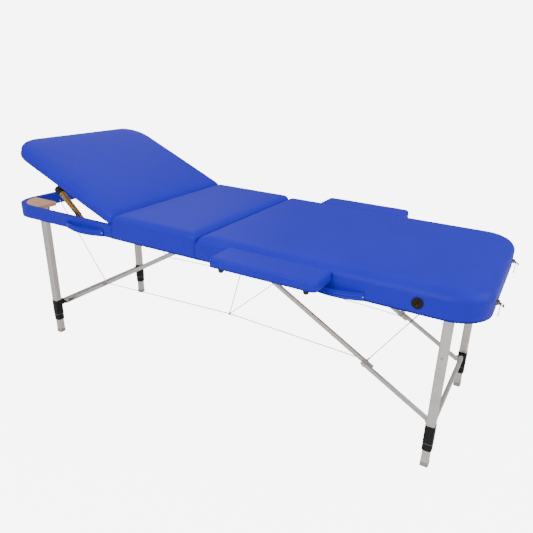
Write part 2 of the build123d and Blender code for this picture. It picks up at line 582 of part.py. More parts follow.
# ---- latches on the foot end, keepers on the head end ----
def latch_plate(y):
    """Steel plate on the foot end with two lugs and the lever's pin."""
    x = HALF_LENGTH
    plate = block(x, x + 2, y - 13, y + 13, LATCH_PIVOT_Z - 24, LATCH_PIVOT_Z + 8)
    for side in SIDES:
        a, b = sorted((y + side * 9, y + side * 11))
        plate += block(x, LATCH_PIVOT_X, a, b, LATCH_PIVOT_Z - 4, LATCH_PIVOT_Z + 4)
        plate += rod_y(LATCH_PIVOT_X, LATCH_PIVOT_Z, a, b, 4)
    return plate + rod_y(LATCH_PIVOT_X, LATCH_PIVOT_Z, y - 11, y + 11, 1.8)


def latch_lever(y):
    """Pressed lever on the plate's pin, with a finger lip and the claw's pivot in a slot."""
    lever = block(0, LEVER_LENGTH, y - 8, y + 8, -1, 1) + rod_y(0, 0, y - 8, y + 8, 3.4)
    lip = Rot(0, LIP_ANGLE - LEVER_ANGLE, 0) * block(0, LIP_LENGTH, y - 8, y + 8, -1, 1)
    lever += Pos(LEVER_LENGTH, 0, 0) * lip
    lever -= rod_y(0, 0, y - 12, y + 12, 1.8 + FIT)
    lever -= block(CLAW_OFFSET - 3, CLAW_OFFSET + 6, y - 5.6, y + 5.6, -3, 3)
    lever += rod_y(CLAW_OFFSET, 0, y - 6, y + 6, 1.2)
    return Pos(LATCH_PIVOT_X, 0, LATCH_PIVOT_Z) * Rot(0, LEVER_ANGLE, 0) * lever


claw_x = LATCH_PIVOT_X + CLAW_OFFSET * cos(radians(LEVER_ANGLE))
claw_z = LATCH_PIVOT_Z - CLAW_OFFSET * sin(radians(LEVER_ANGLE))


def latch_claw(y):
    """Flat hook that hangs from the lever and catches the keeper of the folded half."""
    claw = block(-1, 1, y - 5, y + 5, -CLAW_LENGTH, 0) + rod_y(0, 0, y - 5, y + 5, 2.6)
    claw += block(-2.6, 1, y - 5, y + 5, -CLAW_LENGTH, -CLAW_LENGTH + 2)
    return Pos(claw_x, 0, claw_z) * (claw - rod_y(0, 0, y - 12, y + 12, 1.2 + FIT))


def keeper(y):
    """Small hooked plate on the head end that a claw pulls on when the table is folded."""
    x, x_hook, z = -HALF_LENGTH, -HALF_LENGTH - KEEPER_REACH, RAIL_BOTTOM + 8
    plate = block(x - 2, x, y - 11, y + 11, RAIL_BOTTOM + 4, RAIL_BOTTOM + 30)
    hook = block(x_hook, x, y - 6, y + 6, z, z + 2)
    hook += block(x_hook, x_hook + 1.6, y - 6, y + 6, z, z + 6)
    return plate + hook


nodes["latch_plates"] = [latch_plate(LATCH_Y * side) for side in SIDES]
nodes["latch_keepers"] = [keeper(LATCH_Y * side) for side in SIDES]
for side, place in zip(SIDES, ("front", "rear")):
    nodes[f"latch_lever_{place}"] = [latch_lever(LATCH_Y * side)]
    nodes[f"latch_claw_{place}"] = [latch_claw(LATCH_Y * side)]


# ---- write one STEP per node ----
os.makedirs("parts", exist_ok=True)
for name, pieces in nodes.items():
    solids = [solid for piece in pieces for solid in piece.solids()]
    solids = [Pos(CENTRE_SHIFT, 0, 0) * solid for solid in solids]
    whole = Compound(children=solids) if len(solids) > 1 else solids[0]
    whole.label = name
    export_step(whole, f"parts/{name}.step")
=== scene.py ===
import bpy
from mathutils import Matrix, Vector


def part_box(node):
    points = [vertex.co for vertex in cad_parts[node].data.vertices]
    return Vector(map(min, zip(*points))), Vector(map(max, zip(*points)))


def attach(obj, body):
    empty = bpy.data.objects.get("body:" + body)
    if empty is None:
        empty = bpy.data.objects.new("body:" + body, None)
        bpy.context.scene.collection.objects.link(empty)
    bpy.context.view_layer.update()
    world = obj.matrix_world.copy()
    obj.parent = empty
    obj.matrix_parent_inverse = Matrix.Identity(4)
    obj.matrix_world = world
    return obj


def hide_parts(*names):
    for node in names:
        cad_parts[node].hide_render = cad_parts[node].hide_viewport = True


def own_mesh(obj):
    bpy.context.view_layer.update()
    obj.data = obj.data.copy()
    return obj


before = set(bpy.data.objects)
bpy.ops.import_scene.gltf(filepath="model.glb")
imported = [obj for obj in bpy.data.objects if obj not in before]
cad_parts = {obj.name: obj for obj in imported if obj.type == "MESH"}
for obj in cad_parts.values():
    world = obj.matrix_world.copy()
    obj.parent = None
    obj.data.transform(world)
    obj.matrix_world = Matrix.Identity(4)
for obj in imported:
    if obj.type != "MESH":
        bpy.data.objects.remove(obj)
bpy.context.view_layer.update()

from math import pi, radians, sin

import bmesh
import bpy
from mathutils import Matrix, Vector, noise

# The camera stands beyond the foot end, on the side of the carry straps, a little above the cushions.
# The frame's origin is under the middle of the whole table, so the fold seam lies 8 mm to one side.
SEAM_X = -0.00793
CAMERA_X, CAMERA_Y, CAMERA_Z = 1.0139, -1.6098, 1.1706
CAMERA_TURN, CAMERA_DIP, CAMERA_ROLL = 26.69, 22.53, 2.57
camera = bpy.data.objects.new("camera", bpy.data.cameras.new("camera"))
bpy.context.collection.objects.link(camera)
bpy.context.scene.camera = camera
camera.data.sensor_width, camera.data.lens = 36.0, 34.95
camera.data.shift_x, camera.data.shift_y = -0.0518, 0.0146
camera.data.clip_end = 50.0
aim = Matrix.Rotation(radians(CAMERA_TURN), 4, "Z") @ Matrix.Rotation(radians(90 - CAMERA_DIP), 4, "X")
aim = aim @ Matrix.Rotation(radians(CAMERA_ROLL), 4, "Z")
camera.matrix_world = Matrix.Translation((CAMERA_X + SEAM_X, CAMERA_Y, CAMERA_Z)) @ aim

# A pale floor under even white light: a bright surround, and three large soft lamps, of which the
# strongest stands on the straps' side, the next beyond the foot end and the weakest behind. The camera
# sees floor and surround brighter than they light the table, so both come out close to white.
FLOOR_GLOW, SURROUND_GLOW = 6.3, 7.0
floor_mesh = bmesh.new()
bmesh.ops.create_grid(floor_mesh, x_segments=1, y_segments=1, size=20.0)
floor = bpy.data.objects.new("floor", bpy.data.meshes.new("floor"))
floor_mesh.to_mesh(floor.data)
floor_mesh.free()
bpy.context.collection.objects.link(floor)
floor_paint = bpy.data.materials.new("floor_paint")
floor_paint.use_nodes = True
floor_skin = floor_paint.node_tree.nodes["Principled BSDF"]
floor_skin.inputs["Base Color"].default_value = (0.80, 0.80, 0.80, 1)
floor_skin.inputs["Roughness"].default_value = 0.9
floor_skin.inputs["Emission Color"].default_value = (1, 1, 1, 1)
floor_ray = floor_paint.node_tree.nodes.new("ShaderNodeLightPath")
floor_glow = floor_paint.node_tree.nodes.new("ShaderNodeMath")
floor_glow.operation = "MULTIPLY"
floor_glow.inputs[1].default_value = FLOOR_GLOW
floor_paint.node_tree.links.new(floor_ray.outputs["Is Camera Ray"], floor_glow.inputs[0])
floor_paint.node_tree.links.new(floor_glow.outputs[0], floor_skin.inputs["Emission Strength"])
floor.data.materials.append(floor_paint)
world = bpy.data.worlds.new("surround")
bpy.context.scene.world = world
world.use_nodes = True
sky, sky_links = world.node_tree.nodes, world.node_tree.links
sky_place, sky_parts = sky.new("ShaderNodeTexCoord"), sky.new("ShaderNodeSeparateXYZ")
sky_links.new(sky_place.outputs["Generated"], sky_parts.inputs[0])
climb = sky.new("ShaderNodeMapRange")
climb.inputs["From Min"].default_value, climb.inputs["From Max"].default_value = -0.05, 0.75
climb.inputs["To Min"].default_value, climb.inputs["To Max"].default_value = 0.30, 0.95
sky_links.new(sky_parts.outputs["Z"], climb.inputs["Value"])
sky_ray, sky_pick = sky.new("ShaderNodeLightPath"), sky.new("ShaderNodeMix")
sky_pick.inputs[3].default_value = SURROUND_GLOW
sky_links.new(sky_ray.outputs["Is Camera Ray"], sky_pick.inputs[0])
sheen_share = sky.new("ShaderNodeMapRange")
sheen_share.inputs["To Min"].default_value, sheen_share.inputs["To Max"].default_value = 0.92, 0.55
sky_links.new(sky_ray.outputs["Is Glossy Ray"], sheen_share.inputs["Value"])
sky_level = sky.new("ShaderNodeMath")
sky_level.operation = "MULTIPLY"
sky_links.new(climb.outputs["Result"], sky_level.inputs[0])
sky_links.new(sheen_share.outputs["Result"], sky_level.inputs[1])
sky_links.new(sky_level.outputs[0], sky_pick.inputs[2])
sky_links.new(sky_pick.outputs[0], sky["Background"].inputs["Strength"])
sky["Background"].inputs["Color"].default_value = (1, 1, 1, 1)
for name, place, target, size, power in (
    ("key", (0.2, -3.0, 2.6), (0.3, 0, 0.55), 1.6, 52),
    ("fill", (3.2, 0.8, 2.2), (0.4, 0, 0.5), 2.0, 34),
    ("back", (-2.6, 2.2, 2.6), (-0.4, 0, 0.6), 2.0, 10),
):
    lamp = bpy.data.objects.new(name, bpy.data.lights.new(name, "AREA"))
    lamp.data.size, lamp.data.energy = size, power
    lamp.location = place
    lamp.rotation_euler = (Vector(target) - Vector(place)).to_track_quat("-Z", "Y").to_euler()
    bpy.context.collection.objects.link(lamp)


# The blue vinyl that covers every soft part: a soft PVC skin with a faint pebble grain, slow changes
# of shade and a slightly glossier look in its darker patches. It is glued down and stapled under.
grain = bpy.data.node_groups.new("pebble_grain", "ShaderNodeTree")
grain.interface.new_socket("Size", in_out="INPUT", socket_type="NodeSocketFloat").default_value = 700
grain.interface.new_socket("Height", in_out="OUTPUT", socket_type="NodeSocketFloat")
grain.interface.new_socket("Shade", in_out="OUTPUT", socket_type="NodeSocketFloat")
g_in, g_out = grain.nodes.new("NodeGroupInput"), grain.nodes.new("NodeGroupOutput")
g_place = grain.nodes.new("ShaderNodeTexCoord")
g_cells = grain.nodes.new("ShaderNodeTexVoronoi")
g_cells.feature = "SMOOTH_F1"
g_cells.inputs["Smoothness"].default_value = 0.6
g_slow = grain.nodes.new("ShaderNodeTexNoise")
g_slow.inputs["Scale"].default_value = 9.0
g_slow.inputs["Detail"].default_value = 4.0
grain.links.new(g_place.outputs["Object"], g_cells.inputs["Vector"])
grain.links.new(g_place.outputs["Object"], g_slow.inputs["Vector"])
grain.links.new(g_in.outputs["Size"], g_cells.inputs["Scale"])
grain.links.new(g_cells.outputs["Distance"], g_out.inputs["Height"])
grain.links.new(g_slow.outputs["Fac"], g_out.inputs["Shade"])


def vinyl(name, dark, light):
    """Blue vinyl between two shades. Returns the material and its colour node."""
    material = bpy.data.materials.new(name)
    material.use_nodes = True
    nodes, links = material.node_tree.nodes, material.node_tree.links
    skin = nodes["Principled BSDF"]
    skin.inputs["Specular IOR Level"].default_value = 0.16
    pebble = nodes.new("ShaderNodeGroup")
    pebble.node_tree = grain
    ramp = nodes.new("ShaderNodeMix")
    ramp.data_type = "RGBA"
    ramp.inputs[6].default_value = (*dark, 1)
    ramp.inputs[7].default_value = (*light, 1)
    links.new(pebble.outputs["Shade"], ramp.inputs[0])
    links.new(ramp.outputs[2], skin.inputs["Base Color"])
    gloss = nodes.new("ShaderNodeMapRange")
    gloss.inputs["To Min"].default_value = 0.40
    gloss.inputs["To Max"].default_value = 0.56
    links.new(pebble.outputs["Shade"], gloss.inputs["Value"])
    links.new(gloss.outputs["Result"], skin.inputs["Roughness"])
    bump = nodes.new("ShaderNodeBump")
    bump.inputs["Strength"].default_value = 0.25
    bump.inputs["Distance"].default_value = 0.0004
    links.new(pebble.outputs["Height"], bump.inputs["Height"])
    links.new(bump.outputs["Normal"], skin.inputs["Normal"])
    return material, ramp


BLUE_DARK, BLUE_LIGHT = (0.017, 0.014, 0.57), (0.023, 0.020, 0.68)
blue, _ = vinyl("blue_vinyl", BLUE_DARK, BLUE_LIGHT)


# The foot, middle, backrest and armrest cushions: foam on plywood under one skin that is rolled over
# the edges and, on the two halves, drawn down over the rails. Each starts as a block whose corners and
# top edges are rounded, is cut into a fine grid, then crowned, and puckered where the skin is gathered.
SKIRT_THICK, CUT_DOWN = 0.004, 0.009
CROWN_REACH, WAVE, WAVES, WAVE_REACH = 0.16, 0.0006, 14.0, 0.05
DROOP, DROOP_REACH = 0.22, 2.6
PUCKER, PUCKERS, PUCKERS_DOWN, PUCKER_REACH = 0.0007, 42, 9, 0.055
LEG_ROOM, END_WALL = 0.307, 0.006


def cushion(name, x0, x1, y0, y1, z0, z1, corners, roll, crown, cut, skirt, place=Matrix.Identity(4)):
    shape = bmesh.new()
    bmesh.ops.create_cube(shape, size=1.0)
    size, middle = Vector((x1 - x0, y1 - y0, z1 - z0)), Vector((x0 + x1, y0 + y1, z0 + z1)) / 2
    bmesh.ops.scale(shape, vec=size, verts=shape.verts)
    bmesh.ops.translate(shape, vec=middle, verts=shape.verts)
    for side, radius in corners:
        upright = []
        for edge in shape.edges:
            a, b = edge.verts[0].co, edge.verts[1].co
            if abs(a.z - b.z) > 0.5 * size.z and (a.x - middle.x) * side > 0:
                upright.append(edge)
        bmesh.ops.bevel(
            shape, geom=upright, offset=radius, affect="EDGES", segments=14, profile=0.5, material=-1
        )
    shape.normal_update()
    rim = [e for e in shape.edges if any(f.normal.z > 0.9 for f in e.link_faces)]
    rim = [e for e in rim if any(abs(f.normal.z) < 0.1 for f in e.link_faces)]
    bmesh.ops.bevel(shape, geom=rim, offset=roll, affect="EDGES", segments=8, profile=0.5, material=-1)
    shape.normal_update()
    if skirt:
        under = [f for f in shape.faces if f.normal.z < -0.9]
        bmesh.ops.inset_region(shape, faces=under, thickness=SKIRT_THICK, use_even_offset=True)
        bmesh.ops.translate(shape, vec=(0, 0, skirt), verts=list({v for f in under for v in f.verts}))
    for axis, low, high in ((0, x0, x1), (1, y0, y1), (2, z0, z1)):
        count = int((high - low) / (cut if axis < 2 else CUT_DOWN))
        normal = Vector([1.0 if k == axis else 0.0 for k in range(3)])
        for k in range(1, count):
            at = normal * (low + (high - low) * k / count)
            every = shape.verts[:] + shape.edges[:] + shape.faces[:]
            bmesh.ops.bisect_plane(shape, geom=every, dist=1e-5, plane_co=at, plane_no=normal)
    if skirt and not corners:
        # The folded head legs pass under the middle cushion's backrest end, so its skirt is raised
        # there, between the side rails.
        for vert in shape.verts:
            if vert.co.x < x0 + END_WALL and abs(vert.co.y) < LEG_ROOM and vert.co.z < z0 + skirt:
                vert.co.z = z0 + skirt - 0.001
    bmesh.ops.remove_doubles(shape, verts=shape.verts, dist=0.0005)
    bmesh.ops.dissolve_degenerate(shape, dist=0.0001, edges=shape.edges)
    shape.normal_update()
    seat = z0 + (skirt + 0.001 if skirt else 0.006)
    for vert in shape.verts:
        if vert.co.z < seat:
            continue
        gap_x, gap_y = min(vert.co.x - x0, x1 - vert.co.x), min(vert.co.y - y0, y1 - vert.co.y)
        along = min(gap_x, gap_y)
        for side, radius in corners:
            if (vert.co.x - middle.x) * side > 0 and max(gap_x, gap_y) < radius:
                along = max(0.0, radius - ((radius - gap_x) ** 2 + (radius - gap_y) ** 2) ** 0.5)
        rise = min(1.0, along / CROWN_REACH)
        lift = crown * rise * (2 - rise)
        lift += WAVE * noise.noise(vert.co * WAVES) * min(1.0, along / WAVE_REACH)
        lift -= DROOP * roll * max(0.0, 1 - along / (DROOP_REACH * roll)) ** 2
        near = max(0.0, 1 - along / PUCKER_REACH)
        gather = Vector((vert.co.x * PUCKERS, vert.co.y * PUCKERS, vert.co.z * PUCKERS_DOWN))
        pucker = PUCKER * near * noise.noise(gather)
        vert.co += Vector((0, 0, lift * max(0.0, vert.normal.z))) + vert.normal * pucker
    soft = [v for v in shape.verts if v.co.z > seat + 0.004]
    for _ in range(3):
        bmesh.ops.smooth_vert(
            shape, verts=soft, factor=0.4, use_axis_x=True, use_axis_y=True, use_axis_z=True
        )
    bmesh.ops.transform(shape, matrix=place, verts=shape.verts)
    bmesh.ops.recalc_face_normals(shape, faces=shape.faces)
    piece = bpy.data.objects.new(name, bpy.data.meshes.new(name))
    shape.to_mesh(piece.data)
    shape.free()
    for polygon in piece.data.polygons:
        polygon.use_smooth = True
    piece.data.materials.append(blue)
    bpy.context.collection.objects.link(piece)
    return piece


RAIL_BOTTOM, SKIN, SKIRT, SEAM_MEET, CORNER = 0.5455, 0.0012, 0.0516, 0.00045, 0.112
foot_low, foot_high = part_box("foot_pad")
foot = cushion(
    "foot_cushion", x0=foot_low.x - SEAM_MEET, x1=foot_high.x + SKIN, y0=foot_low.y - SKIN,
    y1=foot_high.y + SKIN, z0=RAIL_BOTTOM, z1=foot_high.z, corners=((1, CORNER),), roll=0.033,
    crown=0.003, cut=0.016, skirt=SKIRT,
)
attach(foot, "foot_half")
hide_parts("foot_pad")
mid_low, mid_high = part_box("middle_pad")
middle = cushion(
    "middle_cushion", x0=mid_low.x - 0.004, x1=mid_high.x + SEAM_MEET, y0=mid_low.y - SKIN,
    y1=mid_high.y + 0.0035, z0=RAIL_BOTTOM, z1=mid_high.z + 0.0025, corners=(), roll=0.024,
    crown=0.0035, cut=0.016, skirt=SKIRT,
)
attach(middle, "head_half")
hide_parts("middle_pad")
BACK_HINGE, BACK_ANGLE = Vector((-0.375 + SEAM_X, 0, 0.596)), 23
tilt = Matrix.Translation(BACK_HINGE) @ Matrix.Rotation(radians(BACK_ANGLE), 4, "Y")
rest = cushion(
    "backrest_cushion", x0=-0.549, x1=0.001, y0=-0.3285, y1=0.3345, z0=0.0005, z1=0.042,
    corners=((-1, 0.108),), roll=0.025, crown=0.0035, cut=0.016, skirt=0, place=tilt,
)
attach(rest, "backrest")
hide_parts("backrest_pad")
for side in ("front", "rear"):
    arm_low, arm_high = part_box(f"armrest_{side}_pad")
    arm = cushion(
        f"armrest_{side}_cushion", x0=arm_low.x - 0.002, x1=arm_high.x, y0=arm_low.y, y1=arm_high.y,
        z0=arm_low.z - 0.003, z1=arm_high.z, corners=((1, 0.016), (-1, 0.016)), roll=0.011,
        crown=0.0015, cut=0.011, skirt=0,
    )
    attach(arm, f"armrest_{side}")
    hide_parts(f"armrest_{side}_pad")


# The wooden frames of the two halves, with their decks. The outer rails are wrapped in the blue skin,
# which is pulled round them and stapled; decks, cross rails and battens are bare birch ply, and so are
# the backrest's board and the corner blocks.
def paint(material, *names):
    """Gives a carried-over part this finish in every one of its slots."""
    for name in names:
        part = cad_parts[name]
        for holder in part.material_slots:
            holder.material = material


def math_node(nodes, links, operation, a, b=None):
    """One maths node fed by sockets or plain numbers."""
    node = nodes.new("ShaderNodeMath")
    node.operation = operation
    for socket, value in zip(node.inputs, (a, b)):
        if value is None:
            continue
        if isinstance(value, (int, float)):
            socket.default_value = value
        else:
            links.new(value, socket)
    return node.outputs[0]


timber = bpy.data.node_groups.new("timber_figure", "ShaderNodeTree")
timber.interface.new_socket("Figure", in_out="OUTPUT", socket_type="NodeSocketFloat")
timber.interface.new_socket("Pores", in_out="OUTPUT", socket_type="NodeSocketFloat")
t_out = timber.nodes.new("NodeGroupOutput")
t_place = timber.nodes.new("ShaderNodeTexCoord")
t_stretch = timber.nodes.new("ShaderNodeMapping")
t_stretch.inputs["Scale"].default_value = (3.0, 45.0, 45.0)
t_figure = timber.nodes.new("ShaderNodeTexNoise")
t_figure.inputs["Scale"].default_value = 1.6
t_figure.inputs["Detail"].default_value = 5.0
t_figure.inputs["Distortion"].default_value = 0.6
t_pores = timber.nodes.new("ShaderNodeTexNoise")
t_pores.inputs["Scale"].default_value = 14.0
t_pores.inputs["Detail"].default_value = 3.0
timber.links.new(t_place.outputs["Object"], t_stretch.inputs["Vector"])
timber.links.new(t_stretch.outputs["Vector"], t_figure.inputs["Vector"])
timber.links.new(t_stretch.outputs["Vector"], t_pores.inputs["Vector"])
timber.links.new(t_figure.outputs["Fac"], t_out.inputs["Figure"])
timber.links.new(t_pores.outputs["Fac"], t_out.inputs["Pores"])


def add_ply(nodes, links, dark, light):
    """Bare birch ply between two shades. Returns its colour socket and its figure group."""
    wood = nodes.new("ShaderNodeGroup")
    wood.node_tree = timber
    shades = nodes.new("ShaderNodeMix")
    shades.data_type = "RGBA"
    shades.inputs[6].default_value = (*dark, 1)
    shades.inputs[7].default_value = (*light, 1)
    links.new(wood.outputs["Figure"], shades.inputs[0])
    return shades.outputs[2], wood


PLY_DARK, PLY_LIGHT = (0.62, 0.35, 0.19), (0.86, 0.57, 0.37)
HALF_LENGTH, HALF_WIDTH, WRAP_DEPTH, WRAP_TOP = 0.930, 0.330, 0.0205, 0.5935
wrapped, wrapped_colour = vinyl("wrapped_wood", BLUE_DARK, BLUE_LIGHT)
w_nodes, w_links = wrapped.node_tree.nodes, wrapped.node_tree.links
w_skin = w_nodes["Principled BSDF"]
w_place, w_parts = w_nodes.new("ShaderNodeTexCoord"), w_nodes.new("ShaderNodeSeparateXYZ")
w_links.new(w_place.outputs["Object"], w_parts.inputs[0])
from_seam = math_node(w_nodes, w_links, "SUBTRACT", w_parts.outputs[0], SEAM_X)
from_seam = math_node(w_nodes, w_links, "ABSOLUTE", from_seam)
past_x = math_node(w_nodes, w_links, "SUBTRACT", from_seam, HALF_LENGTH - CORNER)
past_x = math_node(w_nodes, w_links, "MAXIMUM", past_x, 0.0)
from_middle = math_node(w_nodes, w_links, "ABSOLUTE", w_parts.outputs[1])
past_y = math_node(w_nodes, w_links, "SUBTRACT", from_middle, HALF_WIDTH - CORNER)
past_y = math_node(w_nodes, w_links, "MAXIMUM", past_y, 0.0)
square_x = math_node(w_nodes, w_links, "MULTIPLY", past_x, past_x)
square_y = math_node(w_nodes, w_links, "MULTIPLY", past_y, past_y)
square = math_node(w_nodes, w_links, "ADD", square_x, square_y)
reach = math_node(w_nodes, w_links, "SQRT", square)
in_rail = math_node(w_nodes, w_links, "GREATER_THAN", reach, CORNER - WRAP_DEPTH)
below = math_node(w_nodes, w_links, "LESS_THAN", w_parts.outputs[2], WRAP_TOP)
wrap_mask = math_node(w_nodes, w_links, "MULTIPLY", in_rail, below)
bare, _ = add_ply(w_nodes, w_links, PLY_DARK, PLY_LIGHT)
choose = w_nodes.new("ShaderNodeMix")
choose.data_type = "RGBA"
w_links.new(wrap_mask, choose.inputs[0])
w_links.new(bare, choose.inputs[6])
w_links.new(wrapped_colour.outputs[2], choose.inputs[7])
w_links.new(choose.outputs[2], w_skin.inputs["Base Color"])
paint(wrapped, "foot_frame", "head_frame")

ply = bpy.data.materials.new("birch_ply")
ply.use_nodes = True
p_nodes, p_links = ply.node_tree.nodes, ply.node_tree.links
p_skin = p_nodes["Principled BSDF"]
p_skin.inputs["Roughness"].default_value = 0.62
p_colour, p_wood = add_ply(p_nodes, p_links, PLY_DARK, PLY_LIGHT)
p_links.new(p_colour, p_skin.inputs["Base Color"])
p_bump = p_nodes.new("ShaderNodeBump")
p_bump.inputs["Strength"].default_value = 0.3
p_bump.inputs["Distance"].default_value = 0.0003
p_links.new(p_wood.outputs["Pores"], p_bump.inputs["Height"])
p_links.new(p_bump.outputs["Normal"], p_skin.inputs["Normal"])
paint(ply, "backrest_board", "head_corner_blocks")


# Legs, crossbars and folding braces: drawn aluminium with a satin surface, fine lines along each piece
# and slight, cloudy handling marks. The braces are a little greyer than the legs.
marks = bpy.data.node_groups.new("metal_marks", "ShaderNodeTree")
marks.interface.new_socket("Along", in_out="INPUT", socket_type="NodeSocketVector")
marks.interface.new_socket("Lines", in_out="OUTPUT", socket_type="NodeSocketFloat")
marks.interface.new_socket("Handling", in_out="OUTPUT", socket_type="NodeSocketFloat")
m_in, m_out = marks.nodes.new("NodeGroupInput"), marks.nodes.new("NodeGroupOutput")
m_place = marks.nodes.new("ShaderNodeTexCoord")
m_scale = marks.nodes.new("ShaderNodeVectorMath")
m_scale.operation = "MULTIPLY"
m_lines = marks.nodes.new("ShaderNodeTexNoise")
m_lines.inputs["Scale"].default_value = 1.0
m_lines.inputs["Detail"].default_value = 3.0
m_hand = marks.nodes.new("ShaderNodeTexNoise")
m_hand.inputs["Scale"].default_value = 22.0
m_hand.inputs["Detail"].default_value = 6.0
marks.links.new(m_place.outputs["Object"], m_scale.inputs[0])
marks.links.new(m_in.outputs["Along"], m_scale.inputs[1])
marks.links.new(m_scale.outputs[0], m_lines.inputs["Vector"])
marks.links.new(m_place.outputs["Object"], m_hand.inputs["Vector"])
marks.links.new(m_lines.outputs["Fac"], m_out.inputs["Lines"])
marks.links.new(m_hand.outputs["Fac"], m_out.inputs["Handling"])


def metal(name, dark, light, rough, along, metallic=1.0):
    """Drawn or plated metal between two shades. With metallic None, the caller feeds that socket."""
    material = bpy.data.materials.new(name)
    material.use_nodes = True
    nodes, links = material.node_tree.nodes, material.node_tree.links
    skin = nodes["Principled BSDF"]
    if metallic is not None:
        skin.inputs["Metallic"].default_value = metallic
    drawn = nodes.new("ShaderNodeGroup")
    drawn.node_tree = marks
    drawn.inputs["Along"].default_value = along
    shades = nodes.new("ShaderNodeMix")
    shades.data_type = "RGBA"
    shades.inputs[6].default_value = (*dark, 1)
    shades.inputs[7].default_value = (*light, 1)
    links.new(drawn.outputs["Handling"], shades.inputs[0])
    links.new(shades.outputs[2], skin.inputs["Base Color"])
    dull = nodes.new("ShaderNodeMapRange")
    dull.inputs["From Min"].default_value, dull.inputs["From Max"].default_value = 0.3, 0.7
    dull.inputs["To Min"].default_value, dull.inputs["To Max"].default_value = rough
    links.new(drawn.outputs["Lines"], dull.inputs["Value"])
    links.new(dull.outputs["Result"], skin.inputs["Roughness"])
    bump = nodes.new("ShaderNodeBump")
    bump.inputs["Strength"].default_value = 0.15
    bump.inputs["Distance"].default_value = 0.0002
    links.new(drawn.outputs["Lines"], bump.inputs["Height"])
    links.new(bump.outputs["Normal"], skin.inputs["Normal"])
    return material


upright_metal = metal(
    "satin_aluminium", (0.70, 0.67, 0.63), (0.90, 0.87, 0.83), (0.30, 0.46), (700, 700, 9)
)
paint(upright_metal, "foot_leg_tubes", "head_leg_tubes")
for end in ("foot", "head"):
    for side in ("front", "rear"):
        paint(upright_metal, f"inner_leg_{end}_{side}")
brace_metal = metal("brace_aluminium", (0.62, 0.60, 0.58), (0.84, 0.82, 0.80), (0.28, 0.44), (35, 700, 60))
paint(brace_metal, "foot_upper_braces", "foot_lower_braces", "head_upper_braces", "head_lower_braces")


# Steel fittings: zinc-plated hinges, leg brackets, stay pivots, leg buttons and strap screws, with the
# slightly uneven, cloudy shine that plating has. The latches are of darker steel.
ZINC_DARK, ZINC_LIGHT = (0.46, 0.46, 0.45), (0.66, 0.65, 0.63)
zinc = metal("zinc_steel", ZINC_DARK, ZINC_LIGHT, (0.26, 0.44), (120, 120, 120))
paint(
    zinc, "foot_leg_brackets", "head_leg_brackets", "hinge_leaves_foot", "hinge_leaves_head", "hinge_pins",
    "backrest_leaves_fixed", "backrest_leaves_moving", "backrest_hinge_pins", "stay_pivots",
    "foot_handle_screws", "head_handle_screws",
)
for end in ("foot", "head"):
    for side in ("front", "rear"):
        paint(zinc, f"leg_button_{end}_{side}")
latch_steel = metal("latch_steel", (0.20, 0.19, 0.18), (0.42, 0.41, 0.39), (0.28, 0.46), (150, 150, 150))
paint(
    latch_steel, "latch_plates", "latch_keepers", "latch_lever_front", "latch_lever_rear",
    "latch_claw_front", "latch_claw_rear",
)


# The two plated steel bars under each armrest, that slide through the rail. Each has a saddle under
# the cushion and a black plastic ball at its outer end.
BALL_BLACK, BALL_Y, BALL_TOP = (0.012, 0.011, 0.010, 1), 0.4275, 0.5925
capped = metal("capped_bars", ZINC_DARK, ZINC_LIGHT, (0.26, 0.44), (120, 120, 120), None)
c_nodes, c_links = capped.node_tree.nodes, capped.node_tree.links
c_skin = c_nodes["Principled BSDF"]
c_place, c_parts = c_nodes.new("ShaderNodeTexCoord"), c_nodes.new("ShaderNodeSeparateXYZ")
c_links.new(c_place.outputs["Object"], c_parts.inputs[0])
outward = math_node(c_nodes, c_links, "ABSOLUTE", c_parts.outputs[1])
at_end = math_node(c_nodes, c_links, "GREATER_THAN", outward, BALL_Y)
under_pad = math_node(c_nodes, c_links, "LESS_THAN", c_parts.outputs[2], BALL_TOP)
ball = math_node(c_nodes, c_links, "MULTIPLY", at_end, under_pad)
shiny = c_skin.inputs["Base Color"].links[0].from_socket
c_pick = c_nodes.new("ShaderNodeMix")
c_pick.data_type = "RGBA"
c_pick.inputs[7].default_value = BALL_BLACK
c_links.new(ball, c_pick.inputs[0])
c_links.new(shiny, c_pick.inputs[6])
c_links.new(c_pick.outputs[2], c_skin.inputs["Base Color"])
c_links.new(math_node(c_nodes, c_links, "SUBTRACT", 1.0, ball), c_skin.inputs["Metallic"])
paint(capped, "armrest_front_bars", "armrest_rear_bars")


# The two backrest stays: a yellow-plated steel channel with a row of holes, and a bright round rod
# that runs inside it through a black catch.
brass = metal("yellow_plate", (0.42, 0.29, 0.10), (0.70, 0.52, 0.24), (0.24, 0.42), (90, 90, 90))
paint(brass, "stay_channels")
bright = metal("bright_rod", (0.62, 0.61, 0.58), (0.80, 0.79, 0.76), (0.14, 0.26), (300, 300, 300))
paint(bright, "stay_rods")


# Moulded parts with a fine spark-eroded texture: the tees that join legs and crossbars, the brace
# clevises, the stays' catches and brackets and the armrests' bushings in black nylon, the side boss in
# brown-black plastic, and the feet in light grey rubber.
moulded = bpy.data.node_groups.new("moulded_skin", "ShaderNodeTree")
moulded.interface.new_socket("Texture", in_out="OUTPUT", socket_type="NodeSocketFloat")
moulded.interface.new_socket("Dust", in_out="OUTPUT", socket_type="NodeSocketFloat")
d_out = moulded.nodes.new("NodeGroupOutput")
d_place = moulded.nodes.new("ShaderNodeTexCoord")
d_fine = moulded.nodes.new("ShaderNodeTexNoise")
d_fine.inputs["Scale"].default_value = 1400.0
d_dust = moulded.nodes.new("ShaderNodeTexNoise")
d_dust.inputs["Scale"].default_value = 30.0
d_dust.inputs["Detail"].default_value = 6.0
moulded.links.new(d_place.outputs["Object"], d_fine.inputs["Vector"])
moulded.links.new(d_place.outputs["Object"], d_dust.inputs["Vector"])
